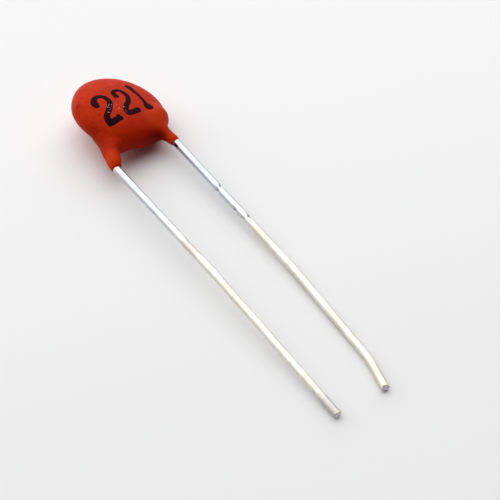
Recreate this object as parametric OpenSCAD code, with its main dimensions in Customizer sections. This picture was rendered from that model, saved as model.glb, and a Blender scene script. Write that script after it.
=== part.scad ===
// Radial ceramic disc capacitor: a dipped disc with two straight tinned leads.
// Millimetres, +Z up. The part lies as it comes to rest: on a lump at the back of the
// disc and on its two leads, which run toward -Y. The origin is on the surface that it
// lies on, below the middle of its outline.
//
// Two frames are used. The body frame has the disc in its XY plane, the disc's centre
// at the origin, the marked face toward +Z and the leads toward -Y. The resting frame
// is the part's own. placed() and placed_point() carry the first into the second.

/* [Coat] */
// Diameter of the dipped disc
coat_d = 6; // [5.8:0.1:6.2]
// Thickness of the dipped disc, without the lump at the back
coat_t = 2.4; // [2.2:0.1:2.8]
// Fullness of the rim: 2 is an ellipse, more is a flatter face with a rounder edge
rim_power = 2.4; // [2:0.1:2.6]
// How far the lump over the rear joint stands out of the back face
lump_h = 0.32; // [0.3:0.02:0.4]
// Diameter of the rear leg where it leaves the disc
rear_root_d = 1; // [0.9:0.05:1.1]
// Diameter of the front leg where it leaves the disc
front_root_d = 0.86; // [0.8:0.02:1]
// Diameter of a coated leg where the bare wire comes out
leg_end_d = 0.64; // [0.62:0.02:0.8]
// Softness of the web between the disc and the rear leg
rear_web = 0.6; // [0.5:0.05:0.8]
// Softness of the web between the disc and the front leg
front_web = 0.5; // [0.3:0.05:0.8]

/* [Ceramic] */
// Diameter of the bare ceramic disc
ceramic_d = 4.5; // [4.2:0.1:4.6]
// Thickness of the bare ceramic disc
ceramic_t = 0.3; // [0.2:0.05:0.4]
// Diameter of the silver electrode on each face
electrode_d = 4; // [3.6:0.1:4.2]
// Thickness of a silver electrode
electrode_t = 0.03; // [0.02:0.01:0.05]

/* [Solder] */
// Diameter of a solder joint on its electrode
solder_d = 2.2; // [1.8:0.1:2.4]
// Height of a solder joint over its electrode
solder_h = 0.6; // [0.55:0.01:0.65]

/* [Leads] */
// Diameter of the tinned wire
wire_d = 0.5; // [0.4:0.05:0.5]
// Spacing of the leads where they leave the coat
lead_pitch = 4.4; // [4.3:0.05:4.6]
// Distance from the disc's centre to the cut ends
lead_reach = 26.9; // [22:0.1:32]
// Radius of the soft bends in the bare wire
bend_r = 4; // [2:0.5:5]

/* [Rest] */
// Angle that the disc rolls about its leads, right side down
roll = 16.5; // [16:0.5:17]
// Angle that the far side of the disc is raised
pitch = 2; // [1.5:0.5:2.5]

/* [Quality] */
// Points along a quarter of the coat's section
section_steps = 11; // [6:1:12]
// Points along one side of a coated leg
leg_steps = 12; // [8:1:14]
// Degrees between points round the disc
arc_step = 6; // [5:1:10]

/* [Hidden] */

coat_color = [0.72, 0.17, 0.08];
ceramic_color = [0.80, 0.72, 0.58];
silver_color = [0.86, 0.86, 0.84];
solder_color = [0.62, 0.63, 0.65];
wire_color = [0.82, 0.82, 0.84];

wire_r = wire_d / 2;
half_t = coat_t / 2;
electrode_z = ceramic_t / 2 + electrode_t;
// A wire stands on a film of solder this thick
solder_film = 0.01;
// Height of a wire's axis where it lies over an electrode
seat_z = electrode_z + solder_film + wire_r;
right = lead_pitch / 2;

// Route of each wire in the body frame: its end over the electrode, the disc's edge,
// the middle of the coated leg, and the bend where it leaves the coat
front_route = [
    [0.1, 0.9, seat_z], [right - 0.8, -1.6, seat_z],
    [right - 0.5, -2.6, 0.22], [right - 0.18, -3.5, 0.18]
];
rear_route = [
    [-0.1, 0.9, -seat_z], [-right + 0.7, -1.5, -seat_z],
    [-right + 0.02, -2.85, -0.52], [-right - 0.21, -4.1, -0.76]
];
// A coated leg's round tip is centred this far before the end of its route, where the
// tip is cut off square
tip_back = 0.05;

// The lump: a flattened ball that sits in the back face
lump_r = 1.35;
lump_flat = 0.97;
lump_at = [0, 0.1, lump_flat - half_t - lump_h];
lump_web = 0.25;
// The shoulder: a ball in the rim, outside the front leg
shoulder_r = 0.7;
shoulder_at = [1.8, -1.3, 0.4];
shoulder_web = 0.5;

// Where each leg's flanks run out on the disc's rim, in degrees round the disc
rear_outer = 205;
rear_inner = 262;
front_inner = 287;
front_outer = 332;
// How the skin's points are spread: along the spine of a leg, round its tip, and over
// the flat disc's section
spine_ease = 0.57;
cap_steps = 8;
disc_squash = 0.4;

// Where a solder joint sits on its electrode
front_solder_at = [0.38, 0.4];
rear_solder_at = [-0.38, 0.4];

// The resting frame. The lump touches the surface, so its lowest point sets the height.
up = [-sin(roll) * cos(pitch), sin(pitch), cos(roll) * cos(pitch)];
rest_z = norm([lump_r * up.x, lump_r * up.y, lump_flat * up.z]) - up * lump_at;
middle_y = (coat_d / 2 - lead_reach) / 2;
disc_at = [0, -middle_y, rest_z];

// A bend in a wire is a hair thicker than its straight runs, which run a little way into it
bend_fat = 0.004;
bend_lap = 0.04;
// Height of a wire's axis where it lies on the surface
lying_z = wire_r + bend_fat;
// The front lead is cut this much shorter than the rear one
front_short = 0.36;

// Sides of the round shapes: across a wire, round one turn of a bend, and round the inner
// pieces
wire_sides = 32;
bend_sides = 120;
round_sides = 64;

// Where the bare wires bend and end, in the resting frame and from below the disc's centre.
// The front wire comes down to the surface and lies along it, the rear wire stays level
// and then runs down to its cut end. The bends keep their shares of the leads' reach.
front_bends = [
    [2.7, -0.59 * lead_reach, lying_z + 0.1],
    [2.6, -0.896 * lead_reach, lying_z],
    [2.12, -lead_reach + front_short, lying_z]
];
rear_bends = [
    [-1.98, -0.55 * lead_reach, 1.2],
    [-1.28, -lead_reach, lying_z]
];

// ---- Frames ----

function unit(v) = v / norm(v);

function placed_point(p) =
    let (
        q = [p.x * cos(roll) + p.z * sin(roll), p.y, p.z * cos(roll) - p.x * sin(roll)]
    )
    disc_at + [q.x, q.y * cos(pitch) - q.z * sin(pitch), q.y * sin(pitch) + q.z * cos(pitch)];

module placed() {
    translate(disc_at)
        rotate([pitch, 0, 0])
            rotate([0, roll, 0])
                children();
}

function wire_path(route, bends) = [
    for (p = route) placed_point(p),
    for (p = bends) [p.x, p.y - middle_y, p.z]
];

// ---- Coat surface ----
// The coat is the smooth union of a lens, two tapered legs and the rear lump. Each has a
// function that gives about the distance from a point to its skin, negative inside.

function lens_distance(p, r, h, power) =
    let (
        a = norm([p.x, p.y]) / r,
        b = abs(p.z) / h,
        g = max(pow(pow(a, power) + pow(b, power), 1 / power), 0.01),
        s = pow(g, 1 - power),
        slope = norm([s * pow(a, power - 1) / r, s * pow(b, power - 1) / h])
    )
    (g - 1) / max(slope, 0.1);

function leg_dir(route) = unit(route[3] - route[2]);

function leg_distance(p, a, b, ra, rb) =
    let (
        d = b - a,
        t = min(max((p - a) * d / (d * d), 0), 1)
    )
    norm(p - a - t * d) - ra - t * (rb - ra);

function soft_min(a, b, k) =
    let (h = max(k - abs(a - b), 0) / k)
    min(a, b) - h * h * k / 4;

function route_distance(p, route, root) =
    let (
        tip = leg_end_d / 2,
        waist = (root + tip) / 2
    )
    min(
        leg_distance(p, route[1], route[2], root, waist),
        leg_distance(p, route[2], leg_tip(route), waist, tip)
    );

function leg_tip(route) = route[3] - leg_dir(route) * tip_back;

function coat_distance(p) =
    let (
        disc = lens_distance(p, coat_d / 2, half_t, rim_power),
        rear = soft_min(disc, route_distance(p, rear_route, rear_root_d / 2), rear_web),
        both = soft_min(rear, route_distance(p, front_route, front_root_d / 2), front_web),
        lumped = soft_min(both, lens_distance(p - lump_at, lump_r, lump_flat, 2), lump_web)
    )
    soft_min(lumped, norm(p - shoulder_at) - shoulder_r, shoulder_web);

// Walks from a point inside along a direction until it stands on the skin
trace_steps = 24;
longest_step = 0.4;
function skin_point(from, dir, s = 0, n = trace_steps) =
    let (gap = coat_distance(from + s * dir))
    n == 0
        ? from + s * dir
        : skin_point(from, dir, s - min(max(gap, -longest_step), longest_step), n - 1);

// A leg's spine runs from the disc's centre down the inside of the leg. Station k of
// leg_steps is 0 at the tip, and the stations spread out toward the disc's centre.
function spine_point(route, k) =
    let (
        pts = [leg_tip(route), route[2], route[1], [0, 0, 0]],
        first = norm(pts[1] - pts[0]),
        second = first + norm(pts[2] - pts[1]),
        whole = second + norm(pts[3] - pts[2]),
        t = k / leg_steps,
        s = whole * (spine_ease * t + (1 - spine_ease) * t * t * t)
    )
    [
        for (axis = [0 : 2])
            lookup(s, [
                [0, pts[0][axis]], [first, pts[1][axis]], [second, pts[2][axis]], [whole, pts[3][axis]]
            ])
    ];

// The direction in the disc's plane that a leg's tip points to, in degrees
function heading(route) = atan2(leg_dir(route).y, leg_dir(route).x);

function flat_dir(angle) = [cos(angle), sin(angle)];

// The way that station k looks. It aims at a curve that runs beside the leg, from the
// tip's flank through the leg's root to a point on the disc's rim. side is -1 for the
// flank on the right of the heading and 1 for the flank on its left.
function side_angle(route, k, side, rim_angle) =
    let (
        t = k / leg_steps,
        from = spine_point(route, k),
        out = flat_dir(heading(route) + side * 90),
        tip = leg_tip(route),
        a = [tip.x, tip.y] + out * leg_end_d / 2,
        b = [route[2].x, route[2].y] + out * rear_root_d / 2,
        c = flat_dir(rim_angle) * coat_d / 2,
        aim = (1 - t) * (1 - t) * a + 2 * t * (1 - t) * b + t * t * c
    )
    atan2(aim.y - from.y, aim.x - from.x);

// A station is [spine point, way it looks, roundness of the section, ridge point's number]
function disc_stations(from, to) =
    let (n = round((to - from) / arc_step))
    [for (i = [0 : n]) [[0, 0, 0], from + (to - from) * i / n, 0, 0]];

// The stations of one leg, down its right flank, round its tip and up its left flank,
// as someone sees them who looks along the leg's heading from the marked face
function leg_stations(route, right_rim, left_rim, ridge) = concat(
    [for (k = [leg_steps - 1 : -1 : 0])
        leg_station(route, k, side_angle(route, k, -1, right_rim), ridge)],
    [for (i = [1 : cap_steps - 1])
        leg_station(route, 0, heading(route) - 90 + 180 * i / cap_steps, ridge)],
    [for (k = [0 : leg_steps - 1])
        leg_station(route, k, side_angle(route, k, 1, left_rim), ridge)]
);

function leg_station(route, k, angle, ridge) =
    [spine_point(route, k), angle, 1 - k / leg_steps, ridge + k];

// They go once round the coat, seen from the marked face
function stations() = concat(
    disc_stations(front_outer - 360, rear_outer),
    leg_stations(rear_route, rear_outer, rear_inner, 1),
    disc_stations(rear_inner, front_inner),
    leg_stations(front_route, front_inner, front_outer, 1 + leg_steps)
);

// Directions from the back pole to the marked pole, closer together near the rim of the
// flat disc and even on the round legs
function ray(station, j) =
    let (
        t = 90 * j / section_steps - 90,
        squash = disc_squash + (1 - disc_squash) * station[2],
        lift = atan2(squash * sin(t), cos(t)),
        turn = station[1]
    )
    [cos(lift) * cos(turn), cos(lift) * sin(turn), sin(lift)];

module coat_skin() {
    ring = stations();
    count = len(ring);
    rows = 2 * section_steps - 1;
    ridge = [
        [0, 0, 0],
        for (route = [rear_route, front_route]) for (k = [0 : leg_steps - 1]) spine_point(route, k)
    ];
    back_first = count * rows;
    front_first = back_first + len(ridge);
    points = [
        for (s = ring) for (j = [1 : rows]) skin_point(s[0], ray(s, j)),
        for (m = ridge) skin_point(m, [0, 0, -1]),
        for (m = ridge) skin_point(m, [0, 0, 1])
    ];
    function at(i, j) = (i % count) * rows + j;
    // Each four-sided patch is cut along its shorter diagonal
    function patch(a, b, c, d) =
        norm(points[a] - points[c]) < norm(points[b] - points[d])
            ? [[a, b, c], [a, c, d]]
            : [[a, b, d], [b, c, d]];
    walls = [
        for (i = [0 : count - 1]) for (j = [0 : rows - 2])
            each patch(at(i, j), at(i, j + 1), at(i + 1, j + 1), at(i + 1, j))
    ];
    poles = [
        for (i = [0 : count - 1])
            let (
                a = ring[i][3],
                b = ring[(i + 1) % count][3]
            )
            each a == b
                ? [
                    [back_first + a, at(i, 0), at(i + 1, 0)],
                    [at(i, rows - 1), front_first + a, at(i + 1, rows - 1)]
                ]
                : concat(
                    patch(back_first + a, at(i, 0), at(i + 1, 0), back_first + b),
                    patch(at(i, rows - 1), front_first + a, front_first + b, at(i + 1, rows - 1))
                )
    ];
    polyhedron(points, concat(walls, poles), convexity = 4);
}

// ---- Wire ----

// A straight rod from a to b
module rod(a, b, r = wire_r) {
    d = b - a;
    translate(a)
        rotate([0, acos(d.z / norm(d)), atan2(d.y, d.x)])
            cylinder(r = r, h = norm(d), $fn = wire_sides);
}

// Part of a ring that turns the wire from direction u to direction v
module elbow(start, u, v, r) {
    turn = acos(u * v);
    n = cross(u, v) / norm(cross(u, v));
    m = cross(n, u);
    c = start + r * m;
    multmatrix([
        [-m.x, u.x, n.x, c.x],
        [-m.y, u.y, n.y, c.y],
        [-m.z, u.z, n.z, c.z],
        [0, 0, 0, 1]
    ])
        rotate_extrude(angle = turn, $fn = bend_sides)
            translate([r, 0])
                circle(r = wire_r + bend_fat, $fn = wire_sides);
}

// A round wire through the points of a path, with a soft bend of radius radii[i] at point i
module bent_wire(path, radii) {
    last = len(path) - 1;
    dirs = [for (i = [0 : last - 1]) unit(path[i + 1] - path[i])];
    trims = [
        for (i = [0 : last])
            i == 0 || i == last ? 0 : radii[i] * tan(acos(dirs[i - 1] * dirs[i]) / 2)
    ];
    function lap(i) = i == 0 || i == last ? 0 : bend_lap;
    for (i = [0 : last - 1])
        rod(
            path[i] + dirs[i] * (trims[i] - lap(i)),
            path[i + 1] - dirs[i] * (trims[i + 1] - lap(i + 1))
        );
    for (i = [1 : last - 1])
        elbow(path[i] - dirs[i - 1] * trims[i], dirs[i - 1], dirs[i], radii[i]);
}

tight_r = 1;
front_radii = [0, tight_r, tight_r, tight_r, bend_r, 2 * bend_r, 0];
rear_radii = [0, tight_r, tight_r, tight_r, bend_r, 0];

// ---- Inner pieces, in the body frame ----

// A dome of solder that stands on z = 0. Its root can run on below that.
module solder_dome(root = 0) {
    r = (pow(solder_d / 2, 2) + solder_h * solder_h) / (2 * solder_h);
    intersection() {
        translate([0, 0, solder_h - r])
            sphere(r = r, $fn = round_sides);
        translate([-solder_d, -solder_d, -root])
            cube([2 * solder_d, 2 * solder_d, root + solder_h + 1]);
    }
}

module front_dome(root = 0) {
    placed()
        translate([front_solder_at.x, front_solder_at.y, electrode_z])
            solder_dome(root);
}

module rear_dome(root = 0) {
    placed()
        translate([rear_solder_at.x, rear_solder_at.y, -electrode_z])
            rotate([180, 0, 0])
                solder_dome(root);
}

module electrode_shape() {
    cylinder(d = electrode_d, h = electrode_t, $fn = round_sides);
}

// All that the coat is dipped over. The pieces run into each other a little, so that no
// film is left between them.
module core() {
    ceramic_disc();
    placed()
        cylinder(d = electrode_d, h = 2 * electrode_z, center = true, $fn = round_sides);
    front_dome(electrode_t / 2);
    rear_dome(electrode_t / 2);
    front_lead();
    rear_lead();
}

// ---- Sub-parts ----

module ceramic_disc() {
    color(ceramic_color)
        placed()
            translate([0, 0, -ceramic_t / 2])
                cylinder(d = ceramic_d, h = ceramic_t, $fn = round_sides);
}

module front_electrode() {
    color(silver_color)
        placed()
            translate([0, 0, ceramic_t / 2])
                electrode_shape();
}

module rear_electrode() {
    color(silver_color)
        placed()
            translate([0, 0, -electrode_z])
                electrode_shape();
}

module front_solder() {
    color(solder_color)
        difference() {
            front_dome();
            front_lead();
        }
}

module rear_solder() {
    color(solder_color)
        difference() {
            rear_dome();
            rear_lead();
        }
}

module front_lead() {
    color(wire_color)
        bent_wire(wire_path(front_route, front_bends), front_radii);
}

module rear_lead() {
    color(wire_color)
        bent_wire(wire_path(rear_route, rear_bends), rear_radii);
}

module coat() {
    color(coat_color)
        difference() {
            placed()
                coat_skin();
            core();
            for (route = [front_route, rear_route])
                placed()
                    rod(route[3], route[3] + leg_dir(route) * leg_end_d, leg_end_d);
        }
}

coat();
ceramic_disc();
front_electrode();
rear_electrode();
front_solder();
rear_solder();
front_lead();
rear_lead();
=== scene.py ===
"""The looks of a dipped ceramic disc capacitor that lies on a pale surface.

The coat and the two wires are modelled again, finer than the frame has them and with the
unevenness of resin that ran and of wire that was tinned and cut. The marking is a film of
ink on the coat. Lengths are in millimetres until a mesh is made, and "body" points are in
the disc's own frame: the disc in its XY plane, the marked face toward +Z, the wires
toward -Y.
"""

import math

import bmesh
import bpy
import numpy as np
from mathutils import Matrix, Quaternion, Vector, noise


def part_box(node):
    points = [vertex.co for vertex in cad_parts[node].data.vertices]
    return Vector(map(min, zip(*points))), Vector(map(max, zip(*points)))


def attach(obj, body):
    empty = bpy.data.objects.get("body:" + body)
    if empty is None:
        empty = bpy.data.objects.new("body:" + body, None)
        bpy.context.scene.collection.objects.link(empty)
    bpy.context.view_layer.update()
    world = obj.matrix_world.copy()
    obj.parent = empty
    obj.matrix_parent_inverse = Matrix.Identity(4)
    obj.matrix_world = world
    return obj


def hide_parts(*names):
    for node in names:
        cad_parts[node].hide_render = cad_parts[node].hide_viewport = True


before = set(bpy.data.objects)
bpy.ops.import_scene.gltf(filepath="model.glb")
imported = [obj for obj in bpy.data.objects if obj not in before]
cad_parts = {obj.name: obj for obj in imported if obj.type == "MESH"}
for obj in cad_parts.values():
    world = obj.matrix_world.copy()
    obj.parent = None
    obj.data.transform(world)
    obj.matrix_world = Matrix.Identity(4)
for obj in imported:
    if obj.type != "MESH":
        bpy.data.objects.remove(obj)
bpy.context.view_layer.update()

MM = 0.001
UP = np.array((0, 0, 1))

# ---- Sizes of the part, in millimetres and degrees ----

# How the disc lies: rolled toward its right side, and raised at its far side
ROLL = 16.5
PITCH = 2.0

# The disc: its radius, half its thickness, and how square its rim is
COAT_RADIUS = 3.0
COAT_HALF = 1.2
RIM_POWER = 2.4
# The lump at its back: how far it stands out, its radius, half its height and how far it is
# up from the disc's centre. A web is how wide one form runs into another.
LUMP_OUT = 0.32
LUMP_RADIUS = 1.35
LUMP_FLAT = 0.97
LUMP_UP = 0.1
LUMP_WEB = 0.25
# The shoulder over the front leg
SHOULDER_RADIUS = 0.7
SHOULDER_AT = (1.8, -1.3, 0.4)
SHOULDER_WEB = 0.5
# The coated legs: their radii at the disc's edge and at their ends
REAR_ROOT = 0.5
FRONT_ROOT = 0.43
LEG_END = 0.32
REAR_WEB = 0.6
FRONT_WEB = 0.5
# Resin that gathered along the rear leg and in its inner crook: where each swell starts and
# ends, its radius at each, and its web
REAR_SWELLS = (
    ((-1.8, -1.6, -0.3), (-2.32, -3.6, -0.6), 0.65, 0.29, 0.5),
    ((-1.75, -2.6, -0.38), (-1.05, -2.6, -0.38), 0.38, 0.3, 0.42),
)
# A leg's round tip is centred this far before the end of its route, so that its resin
# thins out over the last bit of wire
TIP_BACK = 0.17

WIRE_RADIUS = 0.25
HALF_SPACING = 2.2
# The height of a wire's middle line over the disc's own middle, and over the surface
SEAT = 0.44
LYING = 0.254
# From the disc's centre to the longer wire's cut end
REACH = 26.9
MIDDLE_Y = COAT_RADIUS / 2 - REACH / 2

# Body points: the wire's end over the disc, the disc's edge, the middle of the coated leg
# and the bend where the wire leaves the coat
FRONT_ROUTE = (
    (0.1, 0.9, SEAT), (HALF_SPACING - 0.8, -1.6, SEAT),
    (HALF_SPACING - 0.5, -2.6, 0.22), (HALF_SPACING - 0.18, -3.5, 0.18),
)
REAR_ROUTE = (
    (-0.1, 0.9, -SEAT), (0.7 - HALF_SPACING, -1.5, -SEAT),
    (0.02 - HALF_SPACING, -2.85, -0.52), (-0.21 - HALF_SPACING, -4.1, -0.76),
)
# Where the bare wires bend and end, from the surface below the disc's centre
FRONT_BENDS = (
    (2.7, -0.59 * REACH, LYING + 0.1), (2.6, -0.896 * REACH, LYING), (2.12, 0.36 - REACH, LYING),
)
REAR_BENDS = ((-1.98, -0.55 * REACH, 1.2), (-1.28, -REACH, LYING))
# The radius of each wire's bends: three in its coated leg, and then the bare ones
FRONT_RADII = (1.0, 1.0, 1.0, 4.0, 8.0)
REAR_RADII = (1.0, 1.0, 1.0, 4.0)

# ---- Frames ----

ceramic_low, ceramic_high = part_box("ceramic_disc")
DISC_AT = np.array((ceramic_low + ceramic_high) / 2 / MM)
BODY_TURN = np.array(
    Matrix.Rotation(math.radians(PITCH), 3, "X") @ Matrix.Rotation(math.radians(ROLL), 3, "Y")
)


def to_part(points):
    """Body points, in the part's frame."""
    return np.asarray(points, float) @ BODY_TURN.T + DISC_AT


def part_point(body_point):
    """One body point, in the part's frame."""
    return to_part([body_point])[0]


def to_body(points):
    """Points of the part's frame, in the body's."""
    return (np.asarray(points, float) - DISC_AT) @ BODY_TURN


def unit(vector):
    return vector / np.linalg.norm(vector)


def wire_path(route, bends):
    """A wire's points in the part's frame, from over the disc to its cut end."""
    below_disc = [(x, y - MIDDLE_Y, z) for x, y, z in bends]
    return np.vstack([to_part(route), below_disc])


# ---- The coat's form: about the distance from its skin, negative inside ----

# Least values that keep the lens sound at its centre, where its slope has no direction
LEAST_SIZE = 0.01
LEAST_SLOPE = 0.1


def lens_distance(points, radius, half, power):
    across = np.hypot(points[:, 0], points[:, 1]) / radius
    height = np.abs(points[:, 2]) / half
    size = np.maximum((across ** power + height ** power) ** (1 / power), LEAST_SIZE)
    scale = size ** (1 - power)
    slope = scale * np.hypot(across ** (power - 1) / radius, height ** (power - 1) / half)
    return (size - 1) / np.maximum(slope, LEAST_SLOPE)


def rod_distance(points, start, end, start_radius, end_radius):
    run = end - start
    along = np.clip((points - start) @ run / (run @ run), 0, 1)
    away = np.linalg.norm(points - start - along[:, None] * run, axis=1)
    return away - start_radius - along * (end_radius - start_radius)


def soft_min(a, b, width):
    near = np.maximum(width - np.abs(a - b), 0) / width
    return np.minimum(a, b) - near * near * width / 4


def leg_distance(points, route, root):
    route = np.array(route)
    waist = (root + LEG_END) / 2
    tip = route[3] - unit(route[3] - route[2]) * TIP_BACK
    upper = rod_distance(points, route[1], route[2], root, waist)
    return np.minimum(upper, rod_distance(points, route[2], tip, waist, LEG_END))


def plain_coat_distance(points):
    """The coat as the frame has it."""
    lump_at = (0, LUMP_UP, LUMP_FLAT - COAT_HALF - LUMP_OUT)
    form = lens_distance(points, COAT_RADIUS, COAT_HALF, RIM_POWER)
    form = soft_min(form, leg_distance(points, REAR_ROUTE, REAR_ROOT), REAR_WEB)
    form = soft_min(form, leg_distance(points, FRONT_ROUTE, FRONT_ROOT), FRONT_WEB)
    form = soft_min(form, lens_distance(points - lump_at, LUMP_RADIUS, LUMP_FLAT, 2), LUMP_WEB)
    shoulder = np.linalg.norm(points - np.array(SHOULDER_AT), axis=1) - SHOULDER_RADIUS
    return soft_min(form, shoulder, SHOULDER_WEB)


def coat_distance(points):
    """The coat with the swells along its rear leg."""
    form = plain_coat_distance(points)
    for start, end, start_radius, end_radius, web in REAR_SWELLS:
        swell = rod_distance(points, np.array(start), np.array(end), start_radius, end_radius)
        form = soft_min(form, swell, web)
    return form


# How points find the skin: how often they are moved, how far apart the form is looked at for
# its slope, and the least steepness that a move straight down reckons with
SKIN_MOVES = 8
SLOPE_STEP = 0.01
LEAST_RISE = 0.3


def outward(points):
    """The way out of the coat at each point, as unit vectors."""
    slopes = [
        coat_distance(points + SLOPE_STEP * axis) - coat_distance(points - SLOPE_STEP * axis)
        for axis in np.eye(3)
    ]
    slopes = np.stack(slopes, axis=1)
    return slopes / np.linalg.norm(slopes, axis=1)[:, None]


# Waves in the skin where the resin ran: their length and height
WAVES = ((1.7, 0.016), (0.6, 0.005))
# The waves fade out over the last stretch of a leg
FADE_FROM = -2.9
FADE_TO = -3.8


def waves(points):
    """How far the uneven skin stands over the smooth one."""
    heights = np.array([
        sum(height * noise.noise(Vector(point) / length) for length, height in WAVES)
        for point in points
    ])
    fade = np.clip((points[:, 1] - FADE_TO) / (FADE_FROM - FADE_TO), 0, 1)
    return heights * fade


def on_skin(points, straight_down=False):
    """The points moved to the coat's skin and lifted by its waves, and the way out there.
    straight_down keeps their X and Y."""
    for _ in range(SKIN_MOVES):
        out = outward(points)
        gap = coat_distance(points)[:, None]
        if straight_down:
            points = points - gap / np.maximum(out[:, 2:], LEAST_RISE) * UP
        else:
            points = points - gap * out
    out = outward(points)
    return points + waves(points)[:, None] * out, out


# ---- Meshes ----

def mesh_object(name, points, faces):
    """An object with a mesh of the given points, in the part's frame in millimetres."""
    mesh = bpy.data.meshes.new(name)
    mesh.from_pydata([tuple(p) for p in np.asarray(points) * MM], [], faces)
    mesh.validate()
    return smooth_object(name, mesh)


def smooth_object(name, mesh):
    """An object that shows a mesh with smooth shading."""
    mesh.polygons.foreach_set("use_smooth", [True] * len(mesh.polygons))
    made = bpy.data.objects.new(name, mesh)
    bpy.context.scene.collection.objects.link(made)
    return made


def mesh_points(mesh):
    flat = np.empty(len(mesh.vertices) * 3)
    mesh.vertices.foreach_get("co", flat)
    return flat.reshape(-1, 3) / MM


def move_points(mesh, points):
    mesh.vertices.foreach_set("co", (np.asarray(points) * MM).ravel())
    mesh.update()


def evaluated_mesh(source):
    """The mesh that an object's modifiers make."""
    graph = bpy.context.evaluated_depsgraph_get()
    return bpy.data.meshes.new_from_object(source.evaluated_get(graph))


COAT_GRAIN = 0.055
# Points of the frame's coat this close are one, and points deeper than this are its hollow's
WELD_WITHIN = 0.0002
HOLLOW_DEPTH = 0.03


def coat_shell(node):
    """The frame's coat without its hollow, closed."""
    shell = bmesh.new()
    shell.from_mesh(node.data)
    bmesh.ops.remove_doubles(shell, verts=shell.verts, dist=WELD_WITHIN * MM)
    shell.verts.ensure_lookup_table()
    depths = plain_coat_distance(to_body([tuple(v.co / MM) for v in shell.verts]))
    hollow = [v for v, depth in zip(shell.verts, depths) if depth < -HOLLOW_DEPTH]
    bmesh.ops.delete(shell, geom=hollow, context="VERTS")
    bmesh.ops.holes_fill(shell, edges=shell.edges)
    mesh = bpy.data.meshes.new("coat_shell")
    shell.to_mesh(mesh)
    shell.free()
    return mesh


def build_coat():
    """The coat's skin in even small faces, each point set on its true form."""
    shell = bpy.data.objects.new("coat_shell", coat_shell(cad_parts["coat"]))
    bpy.context.scene.collection.objects.link(shell)
    grain = shell.modifiers.new("grain", "REMESH")
    grain.mode = "VOXEL"
    grain.voxel_size = COAT_GRAIN * MM
    mesh = evaluated_mesh(shell)
    bpy.data.objects.remove(shell)
    skin, _ = on_skin(to_body(mesh_points(mesh)))
    move_points(mesh, to_part(skin))
    return smooth_object("dipped_coat", mesh)


# ---- Wires ----

# How finely a wire is made: the sides of a ring, from ring to ring, and the steps in a bend
WIRE_SIDES = 32
RING_STEP = 0.08
BEND_STEPS = 12
# The tinned wire stays a little under its full size, so that its waves don't pass it
WIRE_FILL = 0.98
# Waves in the tin: their length and height
TIN_WAVES = ((1.3, 0.005), (0.3, 0.003))
# Each nick: distance from the cut end, angle round the wire, length, width, depth
FRONT_NICKS = (
    (18.45, 145, 0.14, 50, 0.1), (18.35, -25, 0.14, 50, 0.1), (18.4, 60, 0.06, 90, 0.02),
    (16.5, -15, 0.14, 45, 0.08),
    (15.4, 140, 0.16, 50, 0.09), (15.7, -25, 0.2, 45, 0.08), (15.5, 60, 0.07, 90, 0.025),
)
REAR_NICKS = (
    (19.5, -20, 0.1, 30, 0.04), (18.45, -20, 0.12, 40, 0.065), (18.55, 150, 0.12, 35, 0.055),
    (15.2, 140, 0.12, 40, 0.035),
    (2.1, -10, 0.2, 45, 0.04),
)
# The depth that the nicks' painted shade takes as a full dent
FULL_DENT = 0.06
# A sheared end is a blunt wedge: how steep its two slopes are, the rings of points that
# close it, and how its ridge is turned on each wire
WEDGE_SLOPE = 0.45
CAP_RINGS = 5
FRONT_WEDGE_TURN = 70
REAR_WEDGE_TURN = 20
# How much shorter a wire is where its streaks are looked up
STREAK_SHRINK = 0.12


def rounded_path(path, radii):
    """The path's points with each inner corner turned into an arc of its radius."""
    corners = [Vector(p) for p in path]
    points = [corners[0]]
    for before, corner, after, radius in zip(corners, corners[1:], corners[2:], radii):
        u = (corner - before).normalized()
        v = (after - corner).normalized()
        turn = u.angle(v)
        axis = u.cross(v).normalized()
        start = corner - u * radius * math.tan(turn / 2)
        centre = start + axis.cross(u) * radius
        for i in range(BEND_STEPS + 1):
            points.append(centre + Quaternion(axis, turn * i / BEND_STEPS) @ (start - centre))
    return points + [corners[-1]]


def even_points(points, step):
    """Points a step apart along a line, and how far along it each one is."""
    points = np.array([tuple(p) for p in points])
    lengths = np.concatenate([[0], np.cumsum(np.linalg.norm(np.diff(points, axis=0), axis=1))])
    at = np.linspace(0, lengths[-1], int(lengths[-1] / step) + 1)
    return np.stack([np.interp(at, lengths, points[:, axis]) for axis in range(3)], axis=1), at


def ring_frames(centres):
    """The way of a line at each of its points, and two directions across it that turn as
    little as can be."""
    ways = np.gradient(centres, axis=0)
    ways /= np.linalg.norm(ways, axis=1)[:, None]
    across = np.cross(ways[0], UP)
    frames = []
    for way in ways:
        across = unit(across - way * (across @ way))
        frames.append((way, across, np.cross(across, way)))
    return frames


def nick_depth(nick, to_end, angle):
    """How deep a nick is at a place on the wire, which has a distance to the cut end and an
    angle round the wire."""
    at, turn, length, width, depth = nick
    off = (math.degrees(angle) - turn + 180) % 360 - 180
    return depth * math.exp(-((to_end - at) / length) ** 2 - (off / width) ** 2)


def ring_points(centre, ring_frame, to_end, nicks):
    """The wire's surface in a ring round a point of its middle line."""
    _, across, rise = ring_frame
    points = []
    for i in range(WIRE_SIDES):
        angle = 2 * math.pi * i / WIRE_SIDES
        out = across * math.cos(angle) + rise * math.sin(angle)
        on_wire = Vector(centre + out * WIRE_RADIUS)
        radius = WIRE_RADIUS * WIRE_FILL
        radius += sum(height * noise.noise(on_wire / length) for length, height in TIN_WAVES)
        radius -= sum(nick_depth(nick, to_end, angle) for nick in nicks)
        points.append(centre + out * radius)
    return points


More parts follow.
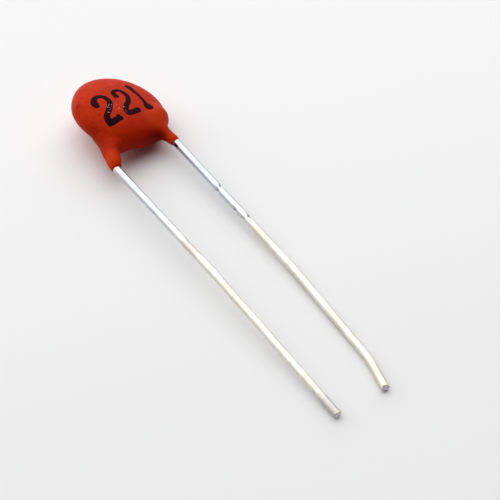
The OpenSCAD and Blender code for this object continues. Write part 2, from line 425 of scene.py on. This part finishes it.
def shear(points, end, end_frame, turn):
    """Cuts points back to the wedge that side cutters leave. turn is how the wedge's
    ridge is turned round the wire, in degrees."""
    way, across, rise = end_frame
    slope_way = across * math.cos(math.radians(turn)) + rise * math.sin(math.radians(turn))
    offsets = points - end
    past = np.maximum(offsets @ way + WEDGE_SLOPE * np.abs(offsets @ slope_way), 0)
    return points - past[:, None] * way


def ring_faces(rings):
    """The faces between rings of points that follow each other."""
    faces = []
    for ring in range(0, (rings - 1) * WIRE_SIDES, WIRE_SIDES):
        following = ring + WIRE_SIDES
        for i in range(WIRE_SIDES):
            after = (i + 1) % WIRE_SIDES
            faces.append((ring + i, following + i, following + after, ring + after))
    return faces


def close_rings(rings, centre):
    """Adds rings that shrink toward the last one's centre."""
    last = np.array(rings[-1])
    for i in range(1, CAP_RINGS + 1):
        rings.append(centre + (last - centre) * (1 - i / (CAP_RINGS + 1)))


def drawn_places(at):
    """For each point of a wire, its place round the wire and, shrunk, along it: noise
    there makes streaks that run along the wire."""
    along = np.repeat(np.concatenate([at, [at[-1]] * CAP_RINGS]), WIRE_SIDES)
    turns = np.tile(2 * np.pi * np.arange(WIRE_SIDES) / WIRE_SIDES, len(at) + CAP_RINGS)
    places = np.column_stack([np.cos(turns), np.sin(turns), along * STREAK_SHRINK])
    return places.astype(np.float32).ravel()


def dent_shares(at, nicks):
    """How dented each point of a wire is outside its end, as a share of a full dent."""
    shares = []
    for along in at:
        for i in range(WIRE_SIDES):
            angle = 2 * math.pi * i / WIRE_SIDES
            depth = sum(nick_depth(nick, at[-1] - along, angle) for nick in nicks)
            shares.append(depth / FULL_DENT)
    return shares


def add_values(wire, at, nicks):
    """Gives the wire's points what its paint asks for: cut, dent and drawn."""
    attributes = wire.data.attributes
    outside_end = len(at) * WIRE_SIDES
    cut = np.zeros(len(wire.data.vertices), np.float32)
    cut[outside_end:] = 1
    attributes.new("cut", "FLOAT", "POINT").data.foreach_set("value", cut)
    dent = np.zeros(len(wire.data.vertices), np.float32)
    dent[:outside_end] = dent_shares(at, nicks)
    attributes.new("dent", "FLOAT", "POINT").data.foreach_set("value", dent)
    drawn = attributes.new("drawn", "FLOAT_VECTOR", "POINT")
    drawn.data.foreach_set("vector", drawn_places(at))


def build_wire(name, path, radii, nicks, wedge_turn):
    """A round tinned wire along a path, with nicks and a sheared end."""
    centres, at = even_points(rounded_path(path, radii), RING_STEP)
    frames = ring_frames(centres)
    rings = [
        ring_points(centre, ring_frame, at[-1] - along, nicks)
        for centre, ring_frame, along in zip(centres, frames, at)
    ]
    close_rings(rings, centres[-1])
    points = shear(np.vstack(rings), centres[-1], frames[-1], wedge_turn)
    faces = ring_faces(len(rings))
    faces.append(tuple(range(WIRE_SIDES)))
    faces.append(tuple(reversed(range(len(points) - WIRE_SIDES, len(points)))))
    wire = mesh_object(name, points, faces)
    add_values(wire, at, nicks)
    return wire


# ---- Marking ----
# A value in plain digits, on a line that is turned a little on the disc. Each digit is
# drawn with strokes. A stroke's points are how far across and up they are, in millimetres,
# and how wide the stroke is there, as a share of the digit's.

LINE_TURN = 13.0
LINE_UP = -1.26
FIRST_TWO = (
    ((0.15, 1.53, 0.95), (0.18, 1.78, 1.15), (0.34, 2.04, 1.0), (0.60, 2.17, 0.9),
     (0.92, 2.08, 0.9), (1.08, 1.76, 0.95), (1.02, 1.38, 1.0), (0.72, 1.02, 1.0),
     (0.32, 0.73, 1.05), (0.05, 0.47, 1.1), (0.0, 0.04, 1.15)),
    ((0.0, 0.04, 1.15), (0.36, 0.03, 1.15), (0.66, 0.06, 1.2)),
    ((0.70, 0.16, 0.85), (0.72, -0.04, 0.85)),
)
SECOND_TWO = (
    ((0.35, 1.63, 1.2), (0.37, 1.84, 1.05), (0.50, 2.04, 0.9), (0.76, 2.08, 0.85),
     (1.00, 1.94, 0.85), (1.09, 1.62, 0.95), (1.00, 1.22, 1.0), (0.72, 0.90, 1.0),
     (0.34, 0.66, 1.05), (0.06, 0.40, 1.15), (0.0, 0.06, 1.2)),
    ((0.0, 0.06, 1.2), (0.40, 0.03, 1.25), (0.77, 0.05, 1.35)),
)
ONE = (
    ((0.25, 2.12, 1.35), (0.26, 1.86, 1.2), (0.26, 1.44, 1.0), (0.24, 1.03, 0.85),
     (0.18, 0.65, 0.85), (0.12, 0.36, 1.0)),
    ((0.06, 0.18, 1.5), (0.05, 0.05, 1.8), (0.06, -0.04, 1.7)),
    ((-0.01, 0.13, 1.2), (0.0, -0.1, 1.2)),
)
# Each digit's strokes, where it stands on the line, and half the width of its strokes
DIGITS = (
    ("first_two", FIRST_TWO, -2.17, 0.185),
    ("second_two", SECOND_TWO, -0.72, 0.165),
    ("one", ONE, 0.92, 0.15),
)
# Steps from one of a stroke's points to the next
STROKE_STEPS = 10
# The squares that a digit is cut from: the corners of their grid and their size
GRID_LOW = (-0.4, -0.5)
GRID_HIGH = (1.4, 2.5)
INK_GRAIN = 0.03
# The film of ink: how far it stands over the skin and reaches under it, how wide its round
# edge is, and how far that edge strays, in lumps of what length
INK_HEIGHT = 0.014
INK_ROOT = 0.012
INK_EDGE = 0.05
INK_RAGGED = 0.02
INK_LUMP = 0.12


def smooth_stroke(points):
    """Points along a smooth curve (Catmull-Rom) through the points of a stroke."""
    points = np.array(points)
    ends = np.vstack([2 * points[0] - points[1], points, 2 * points[-1] - points[-2]])
    curve = []
    for a, b, c, d in zip(ends, ends[1:], ends[2:], ends[3:]):
        for t in np.arange(STROKE_STEPS) / STROKE_STEPS:
            bend = (2 * a - 5 * b + 4 * c - d) * t * t
            twist = (3 * b - a - 3 * c + d) * t ** 3
            curve.append(0.5 * (2 * b + (c - a) * t + bend + twist))
    return np.array(curve + [points[-1]])


def line_to_body(points, across):
    """Points of a digit, as X and Y of the body."""
    turn = math.radians(LINE_TURN)
    x = points[:, 0] + across
    y = points[:, 1] + LINE_UP
    turned_x = x * math.cos(turn) - y * math.sin(turn)
    turned_y = x * math.sin(turn) + y * math.cos(turn)
    return np.stack([turned_x, turned_y], axis=1)


def ink_depth(places, strokes, weight):
    """How far inside the inked strokes each place is, in millimetres."""
    depth = np.full(len(places), -1.0)
    for stroke in strokes:
        for x, y, width in smooth_stroke(stroke):
            depth = np.maximum(depth, width * weight - np.hypot(places[:, 0] - x, places[:, 1] - y))
    ragged = [noise.noise(Vector((x, y, weight)) / INK_LUMP) for x, y in places]
    return depth + INK_RAGGED * np.array(ragged)


def cut_square(depth, i, j):
    """The part of one square of a grid where depth is over 0, as corners. Each is a pair of
    the square's own: one of them twice, or the two that depth 0 lies between."""
    square = [(i, j), (i + 1, j), (i + 1, j + 1), (i, j + 1)]
    corners = []
    for a, b in zip(square, square[1:] + square[:1]):
        if depth[a] > 0:
            corners.append((a, a))
        if (depth[a] > 0) != (depth[b] > 0):
            corners.append(tuple(sorted((a, b))))
    return corners


def corner_place(depth, corner):
    """Where such a corner is on the grid."""
    a, b = corner
    share = 0 if a == b else depth[a] / (depth[a] - depth[b])
    return a[0] + (b[0] - a[0]) * share, a[1] + (b[1] - a[1]) * share


def inside_polygons(depth):
    """The parts of a grid's squares where depth is over 0. Gives the points, as grid
    places, and the polygons."""
    numbers = {}
    polygons = []
    columns, rows = depth.shape
    for i in range(columns - 1):
        for j in range(rows - 1):
            corners = cut_square(depth, i, j)
            if corners:
                polygons.append([numbers.setdefault(corner, len(numbers)) for corner in corners])
    return np.array([corner_place(depth, corner) for corner in numbers]), polygons


def rim_edges(polygons):
    """The edges that only one polygon has, each in that polygon's direction."""
    edges = {(a, b) for polygon in polygons for a, b in zip(polygon, polygon[1:] + polygon[:1])}
    return [(a, b) for a, b in sorted(edges) if (b, a) not in edges]


def inked_shape(strokes, weight):
    """A digit's flat shape: its points, as the strokes have them, and its polygons."""
    low = np.array(GRID_LOW)
    columns, rows = ((GRID_HIGH - low) / INK_GRAIN).astype(int) + 1
    grid = np.meshgrid(range(columns), range(rows), indexing="ij")
    grid = np.stack(grid, axis=-1).reshape(-1, 2)
    depth = ink_depth(low + grid * INK_GRAIN, strokes, weight)
    places, polygons = inside_polygons(depth.reshape(columns, rows))
    return low + places * INK_GRAIN, polygons


def build_digit(name, strokes, across, weight):
    """A digit as a thin film of ink that follows the coat."""
    places, polygons = inked_shape(strokes, weight)
    flat = line_to_body(places, across)
    over_disc = np.column_stack([flat, np.full(len(flat), COAT_HALF)])
    skin, out = on_skin(over_disc, straight_down=True)
    edge = np.clip(ink_depth(places, strokes, weight) / INK_EDGE, 0, 1)
    film = INK_HEIGHT * np.sqrt(1 - (1 - edge) ** 2)
    top = skin + film[:, None] * out
    bottom = skin - INK_ROOT * out
    count = len(skin)
    faces = [tuple(p) for p in polygons]
    faces += [tuple(count + n for n in reversed(p)) for p in polygons]
    faces += [(a, b, count + b, count + a)[::-1] for a, b in rim_edges(polygons)]
    return mesh_object("ink_" + name, to_part(np.vstack([top, bottom])), faces)


# ---- Materials ----

# Noise seldom leaves this range
NOISE_LOW = 0.3
NOISE_HIGH = 0.7


def srgb(red, green, blue):
    """A colour as it looks on a screen, 0 to 255, for a shader."""
    parts = [c / 255 for c in (red, green, blue)]
    return tuple(c / 12.92 if c <= 0.04045 else ((c + 0.055) / 1.055) ** 2.4 for c in parts) + (1,)


class Nodes:
    """Shader nodes under construction, for a material or for the sky."""

    def __init__(self, tree, coordinates):
        self.nodes = tree.nodes
        self.links = tree.links
        self.place = self.nodes.new("ShaderNodeTexCoord").outputs[coordinates]

    def feed(self, socket, value):
        """Gives a socket another node's output or a fixed value."""
        if isinstance(value, bpy.types.NodeSocket):
            self.links.new(value, socket)
        else:
            socket.default_value = value

    def noise(self, length, detail=3.0):
        """Noise of about 0 to 1 whose lumps are that many millimetres long."""
        return self.noise_at(self.place, 1 / (length * MM), detail)

    def noise_at(self, place, scale, detail):
        """Noise of about 0 to 1 at places of any kind, which a scale multiplies."""
        node = self.nodes.new("ShaderNodeTexNoise")
        node.inputs["Scale"].default_value = scale
        node.inputs["Detail"].default_value = detail
        self.links.new(place, node.inputs["Vector"])
        return node.outputs["Fac"]

    def spread(self, value, low, high, to_low=0.0, to_high=1.0):
        """Stretches low to high into to_low to to_high."""
        node = self.nodes.new("ShaderNodeMapRange")
        node.interpolation_type = "SMOOTHSTEP"
        self.links.new(value, node.inputs["Value"])
        limits = {"From Min": low, "From Max": high, "To Min": to_low, "To Max": to_high}
        for socket, number in limits.items():
            node.inputs[socket].default_value = number
        return node.outputs["Result"]

    def wander(self, value, least, most):
        """Noise stretched so that it wanders from least to most."""
        return self.spread(value, NOISE_LOW, NOISE_HIGH, least, most)

    def along(self, way):
        """How far a place lies along a direction, in metres."""
        node = self.nodes.new("ShaderNodeVectorMath")
        node.operation = "DOT_PRODUCT"
        self.links.new(self.place, node.inputs[0])
        node.inputs[1].default_value = way
        return node.outputs["Value"]

    def past(self, way, start, end):
        """0 up to a start and 1 from an end, which are millimetres along a direction."""
        return self.spread(self.along(way), start * MM, end * MM)

    def join(self, operation, first, second):
        """A number from two, each fixed or another node's output."""
        node = self.nodes.new("ShaderNodeMath")
        node.operation = operation
        self.feed(node.inputs[0], first)
        self.feed(node.inputs[1], second)
        return node.outputs["Value"]


class Paint(Nodes):
    """A material under construction, in the part's coordinates."""

    def __init__(self, name, **sockets):
        self.material = bpy.data.materials.new(name)
        self.material.use_nodes = True
        super().__init__(self.material.node_tree, "Object")
        self.shader = self.nodes["Principled BSDF"]
        for socket, value in sockets.items():
            self.shader.inputs[socket.replace("_", " ")].default_value = value

    def attribute(self, name, output="Fac"):
        """What the mesh's points say under a name."""
        node = self.nodes.new("ShaderNodeAttribute")
        node.attribute_name = name
        return node.outputs[output]

    def streaks(self, count):
        """Noise in streaks along a wire, about that many round it."""
        drawn = self.attribute("drawn", "Vector")
        return self.noise_at(drawn, count / (2 * math.pi), STREAK_DETAIL)

    def mix(self, share, first, second):
        """A colour between two, each a colour or another node's output."""
        node = self.nodes.new("ShaderNodeMix")
        node.data_type = "RGBA"
        self.links.new(share, node.inputs["Factor"])
        for name, colour in (("A", first), ("B", second)):
            socket = [s for s in node.inputs if s.name == name and s.type == "RGBA"][0]
            self.feed(socket, colour)
        return [s for s in node.outputs if s.type == "RGBA"][0]

    def patches(self, colour, other, length, low, high, share=1.0, detail=3.0):
        """A colour with patches of another. They begin where noise of a length is over low,
        and have their whole share where it is over high."""
        noisy = self.spread(self.noise(length, detail), low, high, 0, share)
        return self.mix(noisy, colour, other)

    def specks(self, colour, other, share=1.0):
        """A colour with fine specks of another."""
        return self.patches(
            colour, other, length=0.09, low=0.68, high=0.74, share=share, detail=0.0,
        )

    def near(self, point, reach):
        """1 at a point of the part's frame in millimetres, and 0 a reach away from it."""
        node = self.nodes.new("ShaderNodeVectorMath")
        node.operation = "DISTANCE"
        self.links.new(self.place, node.inputs[0])
        node.inputs[1].default_value = tuple(np.asarray(point) * MM)
        return self.spread(node.outputs["Value"], 0, reach * MM, 1, 0)

    def around(self, point, reach, low=0.0, high=1.0, share=1.0):
        """A share that begins where near is over low, and is whole where it is over high."""
        return self.spread(self.near(point, reach), low, high, 0, share)

    def bump(self, height, depth):
        """Lets a value shape the surface by that many millimetres."""
        node = self.nodes.new("ShaderNodeBump")
        node.inputs["Distance"].default_value = depth * MM
        self.links.new(height, node.inputs["Height"])
        self.links.new(node.outputs["Normal"], self.shader.inputs["Normal"])

    def set(self, socket, value):
        """Lets a value drive a socket of the shader."""
        self.links.new(value, self.shader.inputs[socket])


# Resin: its red with lighter lumps, small darker lumps, and pale painted glints round the middle of
# the marking
RESIN = srgb(182, 40, 2)
RESIN_LIGHTER = srgb(195, 48, 4)
RESIN_DARKER = srgb(170, 29, 1)
RESIN_GLINT = srgb(222, 150, 128)
# Where the resin's colour changes: a body point, how far it reaches, its share and colour.
# They are painted shade in the front leg's inner crook, on the lower rim and the face above it,
# on the rim over the rear leg and on the rear leg's two flanks; painted light on the legs, where
# the resin also thins; a painted highlight on the shoulder over the front leg; and the smudge.
COAT_SHADE_LIGHT_AND_SMUDGE = (
    ((0.9, -2.95, 0.1), 1.25, 0.9, (70, 2, 1)),
    ((-0.2, -3.0, -0.3), 1.5, 0.45, (120, 4, 1)),
    ((0.2, -2.6, 0.7), 2.4, 0.5, (164, 14, 1)),
    ((-2.65, -1.3, -0.3), 1.2, 0.55, (130, 18, 2)),
    ((-2.5, -2.3, -0.35), 0.8, 0.5, (120, 14, 3)),
    ((-1.7, -2.9, -0.3), 0.7, 0.55, (116, 10, 2)),
    ((-2.55, -3.55, -0.35), 0.9, 0.7, (214, 62, 12)),
    ((1.75, -3.35, 0.5), 0.8, 0.7, (206, 58, 12)),
    ((1.5, -1.9, 0.95), 1.5, 0.6, (212, 66, 22)),
    ((-2.79, 0.62, 0.48), 0.35, 0.6, (96, 14, 8)),
)

# Ink: nearly black, with lumps of dark red, bluish patches, and pale painted glints round its
# middle
INK = srgb(32, 3, 12)
INK_RED = srgb(60, 9, 17)
INK_BLUE = srgb(24, 8, 44)
INK_GLINT = srgb(206, 180, 176)
# The body point round which glints are painted on the ink and on the resin about it
GLINTS_AT = (-1.1, -0.72, 1.12)

# Tin: cool and grey near the coat, warm and pale where it is older, its creamy and its dull
# patches, painted shade where it leaves the front leg, painted shade in the bottoms of its nicks,
# and its raw cuts
TIN_COOL = srgb(184, 189, 206)
TIN_GREY = srgb(193, 193, 195)
TIN_WARM = srgb(219, 214, 199)
TIN_PALE = srgb(227, 226, 222)
TIN_CREAMY = srgb(206, 200, 184)
TIN_DULL = srgb(176, 171, 166)
TIN_MOUTH_SHADE = srgb(30, 34, 96)
TIN_NICK_SHADE = srgb(104, 100, 134)
TIN_CUT = srgb(228, 226, 232)
# The body point where the front wire leaves its leg, with painted shade on the wire below it
LEG_MOUTH = (1.8, -3.83, 0.1)
# Where the tin's colour changes: a point of the part's frame, how far it reaches, its share
# and colour. They are two creamy stretches of the front wire, a dull one of the rear wire
# and the rear wire's worn end.
WIRE_TINTS = (
    ((2.5, -0.8, 0.53), 1.6, 0.7, (212, 206, 189)),
    ((2.35, -13.6, 0.25), 2.6, 0.5, (214, 207, 187)),
    ((-2.12, -0.3, 1.22), 1.2, 0.5, (182, 172, 166)),
    ((-1.28, -14.95, 0.25), 2.4, 0.6, (172, 170, 170)),
)
# The tin ages along the wires: the direction, and where that starts and is complete
AGE_WAY = (0, -1, 0)
AGE_FROM = -3.5
AGE_TO = 1.5
# Creamy patches: the direction, and where they start and are complete. They are all along
# the rear wire, and on the front wire from its last nicks on.
CREAMY_WAY = (-1, -0.35, 0)
CREAMY_FROM = -2.9
CREAMY_TO = -1.9
# The streaks left by drawing: how many go round a wire in its roughness and in its bumps,
# and how fine their noise is
SHINE_STREAKS = 24
BUMP_STREAKS = 40
STREAK_DETAIL = 2.0
# How metallic the cuts are, and how much rougher they and the older tin are
CUT_METALLIC = 0.3
CUT_ROUGHNESS = 0.3
OLD_TIN_ROUGHNESS = 0.27

# The pieces inside the coat: two close colours of each, and how far their roughness swings
CERAMIC = srgb(206, 184, 150), srgb(190, 166, 130)
SILVER = srgb(214, 212, 206), srgb(190, 186, 178)
SOLDER = srgb(168, 170, 174), srgb(146, 148, 154)
ROUGHNESS_SWING = 0.08


def coat_paint():
    """Dipped resin: brick red, satin and faintly mottled. It has painted light on the legs, where
    the resin also thins, a painted highlight on the shoulder over the front leg, and painted shade
    in the front leg's crook, along the lower rim and on the rear leg's flanks, with a dark smudge
    on the rim and pale painted glints round the middle of the marking."""
    paint = Paint("coat_resin", Specular_IOR_Level=0.04)
    red = paint.patches(RESIN, RESIN_LIGHTER, length=0.5, low=0.35, high=0.65)
    red = paint.patches(red, RESIN_DARKER, length=0.11, low=0.4, high=0.7, share=0.5)
    # Painted shade in the crook, on the lower rim and on the rear leg's flanks, painted light on
    # the legs, a painted highlight on the shoulder, and the smudge
    for place, reach, share, colour in COAT_SHADE_LIGHT_AND_SMUDGE:
        red = paint.mix(paint.around(part_point(place), reach, share=share), red, srgb(*colour))
    # Pale painted glints: specks that stand in for highlights round the middle of the marking
    glinting = paint.around(part_point(GLINTS_AT), reach=0.8, low=0.2, high=0.5)
    glinted = paint.specks(red, RESIN_GLINT, share=0.5)
    paint.set("Base Color", paint.mix(glinting, red, glinted))
    paint.set("Roughness", paint.wander(paint.noise(length=0.25), least=0.4, most=0.54))
    paint.bump(paint.noise(length=0.16), depth=0.008)
    return paint.material


def tin_colour(paint, age):
    """The colour of drawn tin: cool near the coat and warmer with age, with creamy and dull
    patches, and painted shade in the nicks and where the front wire leaves its leg."""
    young = paint.mix(paint.noise(length=2.6), TIN_COOL, TIN_GREY)
    old = paint.patches(TIN_WARM, TIN_PALE, length=1.2, low=0.35, high=0.65)
    tin = paint.mix(age, young, old)
    creamy = paint.patches(tin, TIN_CREAMY, length=0.7, low=0.5, high=0.62, share=0.4)
    tin = paint.mix(paint.past(CREAMY_WAY, CREAMY_FROM, CREAMY_TO), tin, creamy)
    tin = paint.patches(tin, TIN_DULL, length=0.4, low=0.6, high=0.72, share=0.3)
    for place, reach, share, colour in WIRE_TINTS:
        tin = paint.mix(paint.around(place, reach, high=0.5, share=share), tin, srgb(*colour))
    # Painted shade on the wire where it leaves the front leg
    root = paint.around(part_point(LEG_MOUTH), reach=0.34, low=0.1, high=0.6)
    tin = paint.mix(root, tin, TIN_MOUTH_SHADE)
    # Painted shade in the bottoms of the nicks
    nick_shade = paint.spread(paint.attribute("dent"), low=0.2, high=0.9, to_high=0.7)
    return paint.mix(nick_shade, tin, TIN_NICK_SHADE)


def wire_paint():
    """Tinned wire, finely streaked along its length, rougher with age and raw at the cuts."""
    paint = Paint("tinned_wire")
    age = paint.past(AGE_WAY, AGE_FROM, AGE_TO)
    cut = paint.attribute("cut")
    paint.set("Base Color", paint.mix(cut, tin_colour(paint, age), TIN_CUT))
    paint.set("Metallic", paint.spread(cut, 0, 1, 1, CUT_METALLIC))
    rough = paint.wander(paint.streaks(SHINE_STREAKS), least=0.16, most=0.26)
    rough = paint.join("ADD", rough, paint.spread(age, 0, 1, 0, OLD_TIN_ROUGHNESS))
    rough = paint.join("ADD", rough, paint.spread(cut, 0, 1, 0, CUT_ROUGHNESS))
    paint.set("Roughness", rough)
    paint.bump(paint.streaks(BUMP_STREAKS), depth=0.003)
    return paint.material


def ink_paint():
    """Stamping ink: nearly black, with dark red lumps, bluish patches, and pale painted glints
    round the middle of the marking."""
    paint = Paint("marking_ink", Specular_IOR_Level=0.02)
    ink = paint.patches(INK, INK_RED, length=0.1, low=0.4, high=0.7)
    ink = paint.patches(ink, INK_BLUE, length=0.3, low=0.5, high=0.65, share=0.5)
    # Pale painted glints: specks that stand in for highlights round the middle of the marking
    glinting = paint.around(part_point(GLINTS_AT), reach=1.0, low=0.1, high=0.3)
    paint.set("Base Color", paint.mix(glinting, ink, paint.specks(ink, INK_GLINT)))
    paint.set("Roughness", paint.wander(paint.noise(length=0.08), least=0.4, most=0.6))
    paint.bump(paint.noise(length=0.07), depth=0.004)
    return paint.material


def plain_paint(name, colours, length, roughness, depth, metallic=0.0):
    """A finish of two close colours in lumps of a length, with finer lumps in its roughness
    and its bumps."""
    paint = Paint(name, Metallic=metallic)
    paint.set("Base Color", paint.mix(paint.noise(length), *colours))
    least = roughness - ROUGHNESS_SWING
    most = roughness + ROUGHNESS_SWING
    paint.set("Roughness", paint.wander(paint.noise(length / 2), least, most))
    paint.bump(paint.noise(length / 3), depth)
    return paint.material


def dress(piece, material):
    piece.data.materials.clear()
    piece.data.materials.append(material)


# ---- The part's pieces ----

def add_coat():
    coat = build_coat()
    dress(coat, coat_paint())
    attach(coat, "root")
    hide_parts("coat")


def add_wires():
    paint = wire_paint()
    front = wire_path(FRONT_ROUTE, FRONT_BENDS)
    front = build_wire("front_wire", front, FRONT_RADII, FRONT_NICKS, FRONT_WEDGE_TURN)
    rear = wire_path(REAR_ROUTE, REAR_BENDS)
    rear = build_wire("rear_wire", rear, REAR_RADII, REAR_NICKS, REAR_WEDGE_TURN)
    for wire, node in ((front, "front_lead"), (rear, "rear_lead")):
        dress(wire, paint)
        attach(wire, "root")
        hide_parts(node)


def add_marking():
    paint = ink_paint()
    for name, strokes, across, weight in DIGITS:
        digit = build_digit(name, strokes, across, weight)
        dress(digit, paint)
        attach(digit, "root")


def dress_inside():
    """Finishes for the pieces that the coat hides."""
    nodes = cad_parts
    ceramic = plain_paint("ceramic_body", CERAMIC, length=0.3, roughness=0.55, depth=0.004)
    silver = plain_paint(
        "fired_silver", SILVER, length=0.2, roughness=0.4, depth=0.003, metallic=1.0,
    )
    solder = plain_paint(
        "solder_joint", SOLDER, length=0.25, roughness=0.32, depth=0.003, metallic=1.0,
    )
    dress(nodes["ceramic_disc"], ceramic)
    for side in ("front", "rear"):
        dress(nodes[side + "_electrode"], silver)
        dress(nodes[side + "_solder"], solder)


# ---- Camera ----

# Its distance from the disc's centre in millimetres, its focal length and the place of the
# disc's centre in image pixels, how it looks down, turns and leans in degrees, and the
# width of its sensor
IMAGE_PIXELS = 500
CAMERA_DISTANCE = 170.0
FOCAL_PIXELS = 2772.2
DISC_PIXEL = (119.177, 113.439)
LOOK_DOWN = 44.186
CAMERA_TURN = 32.945
CAMERA_LEAN = -1.982
SENSOR = 36.0
# The nearest distance that it sees, in metres
CLIP_START = 0.01


def from_camera(direction):
    """A direction in the part's frame. It is given as someone at the camera has it: to the
    right, away along the floor, and up."""
    return Matrix.Rotation(-math.radians(CAMERA_TURN), 3, "Z") @ direction


def camera_axes():
    """The camera's right, up and back directions as a turn from its axes to the part's."""
    turn = Matrix.Rotation(-math.radians(CAMERA_TURN), 3, "Z")
    down = Matrix.Rotation(math.radians(90 - LOOK_DOWN), 3, "X")
    lean = Matrix.Rotation(-math.radians(CAMERA_LEAN), 3, "Z")
    return turn @ down @ lean


def add_camera():
    data = bpy.data.cameras.new("camera")
    data.sensor_width = SENSOR
    data.lens = SENSOR * FOCAL_PIXELS / IMAGE_PIXELS
    data.clip_start = CLIP_START
    axes = camera_axes()
    scale = CAMERA_DISTANCE / FOCAL_PIXELS
    half = IMAGE_PIXELS / 2
    right = (half - DISC_PIXEL[0]) * scale
    up = (DISC_PIXEL[1] - half) * scale
    at = Vector(DISC_AT) + axes @ Vector((right, up, CAMERA_DISTANCE))
    camera = bpy.data.objects.new("camera", data)
    camera.matrix_world = Matrix.Translation(at * MM) @ axes.to_4x4()
    bpy.context.scene.collection.objects.link(camera)
    bpy.context.scene.camera = camera


# ---- Floor ----

FLOOR_SIZE = 12000.0
FLOOR_NEAR = srgb(230, 230, 231)
FLOOR_FAR = srgb(244, 244, 244)
# The floor's painted light turns it from its near to its far colour along this direction from
# the camera, over this many millimetres to each side of the part's middle
FLOOR_FADE_WAY = Vector((-0.35, 0.94, 0.0))
FLOOR_FADE_REACH = 26.0


def floor_paint():
    """Pale smooth board, with painted light that makes it a little brighter at the far left."""
    paint = Paint("floor_board", Roughness=0.6, Specular_IOR_Level=0.2)
    # Painted light: the floor brightens toward the far left
    fade = paint.past(from_camera(FLOOR_FADE_WAY), -FLOOR_FADE_REACH, FLOOR_FADE_REACH)
    paint.set("Base Color", paint.mix(fade, FLOOR_NEAR, FLOOR_FAR))
    return paint.material


def add_floor():
    half = FLOOR_SIZE / 2
    corners = [(-half, -half, 0), (half, -half, 0), (half, half, 0), (-half, half, 0)]
    floor = mesh_object("floor", corners, [(0, 1, 2, 3)])
    dress(floor, floor_paint())


# ---- Light ----
# Nearly all of it comes from the sky, which is a wide soft glow high behind the part and a
# little to the left. A faint sun stands behind the part on the right. Both directions are
# given from the camera.

SKY_AXIS = Vector((-0.42, 0.58, 0.70)).normalized()
# The glow starts and is full where the cosine of the angle to its axis is this
SKY_EDGE = 0.2
SKY_FULL = 0.8
SKY_STRENGTH = 1.87
SKY_LOW_STRENGTH = 0.02
# The least brightness that the sky shows of itself, in the wires and to a low camera
SKY_SEEN = 0.42
SKY_COLOUR = (1.0, 1.0, 1.0, 1)
SUN_FROM = Vector((0.43, 0.61, 0.67))
SUN_STRENGTH = 0.1
SUN_WIDTH = 33.0


def add_sky():
    world = bpy.data.worlds.new("sky")
    world.use_nodes = True
    sky = Nodes(world.node_tree, "Generated")
    height = sky.along(from_camera(SKY_AXIS))
    glow = sky.spread(height, SKY_EDGE, SKY_FULL, SKY_LOW_STRENGTH, SKY_STRENGTH)
    rays = sky.nodes.new("ShaderNodeLightPath").outputs
    seen = sky.join("MAXIMUM", rays["Is Camera Ray"], rays["Is Glossy Ray"])
    shown = sky.join("MULTIPLY", seen, SKY_SEEN)
    background = sky.nodes["Background"].inputs
    background["Color"].default_value = SKY_COLOUR
    sky.feed(background["Strength"], sky.join("MAXIMUM", shown, glow))
    bpy.context.scene.world = world


def add_sun():
    data = bpy.data.lights.new("sun", "SUN")
    data.energy = SUN_STRENGTH
    data.angle = math.radians(SUN_WIDTH)
    lamp = bpy.data.objects.new("sun", data)
    lamp.rotation_euler = from_camera(SUN_FROM).to_track_quat("Z", "Y").to_euler()
    bpy.context.scene.collection.objects.link(lamp)


add_camera()
add_floor()
add_sun()
add_sky()
add_coat()
add_wires()
add_marking()
dress_inside()
bpy.context.scene.view_settings.view_transform = "Standard"
